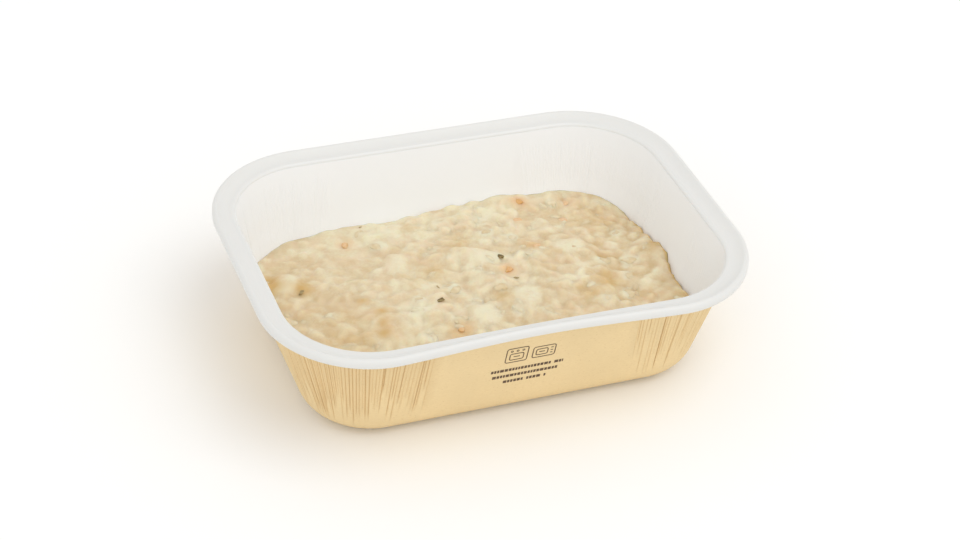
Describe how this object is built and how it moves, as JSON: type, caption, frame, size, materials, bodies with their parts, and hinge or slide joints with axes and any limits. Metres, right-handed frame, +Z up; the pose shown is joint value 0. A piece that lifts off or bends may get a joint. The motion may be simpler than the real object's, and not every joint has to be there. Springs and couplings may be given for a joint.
{
  "type": "salt cod risotto in an oven tray",
  "caption": "Rounded rectangular pressed board tray with a turned-down white rim, partly filled with a creamy, lumpy heap of rice and flaked salt cod.",
  "frame": {"origin": "centre of the tray's flat base, on the surface that it stands on", "axes": "+Z up; +X along the tray's long side; the front wall, which carries the small print, faces -Y"},
  "size_m": [0.187, 0.137, 0.0516],
  "materials": {
    "kraft_board": "matte",
    "white_lining": "satin",
    "white_rim": "satin",
    "creamy_rice": "satin",
    "cod": "satin",
    "print_ink": "matte",
    "carrot": "satin",
    "herb": "matte"
  },
  "bodies": {
    "root": {"tray_board": "kraft_board", "tray_rim": "white_rim", "risotto": "creamy_rice", "cod_flake_1": "cod", "cod_flake_2": "cod", "cod_flake_3": "cod", "cod_flake_4": "cod", "cod_flake_5": "cod", "cod_flake_6": "cod"}
  },
  "joints": []
}
